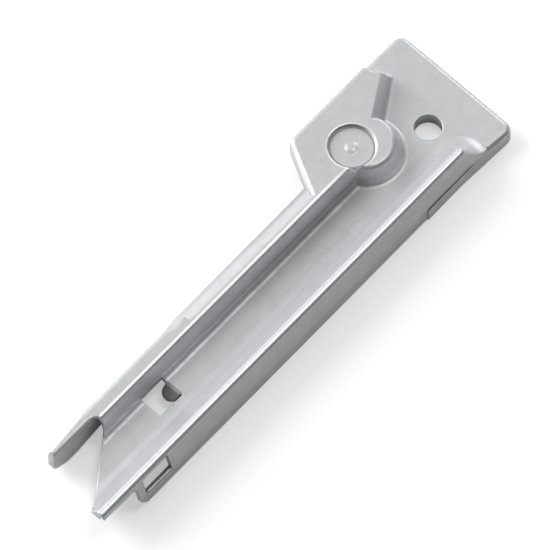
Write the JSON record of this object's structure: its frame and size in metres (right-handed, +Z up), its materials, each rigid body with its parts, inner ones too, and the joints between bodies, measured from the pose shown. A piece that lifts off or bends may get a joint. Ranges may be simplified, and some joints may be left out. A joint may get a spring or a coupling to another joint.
{
  "type": "dishwasher rail",
  "caption": "Pressed sheet-metal guide rail: a long open gutter with a forked end, joined to a rimmed mounting plate with a raised plateau and a fixing hole.",
  "frame": {"origin": "middle of the bounding box in X and Y, at the table that the rims and walls stand on", "axes": "+X along the rail from the forked end to the plate, +Y across towards the plateau's side, +Z up from the table to the crest"},
  "size_m": [0.1349, 0.0351, 0.0101],
  "materials": {
    "rail": "satin zinc-coated sheet steel"
  },
  "bodies": {
    "root": {"rail": "rail"}
  },
  "joints": []
}
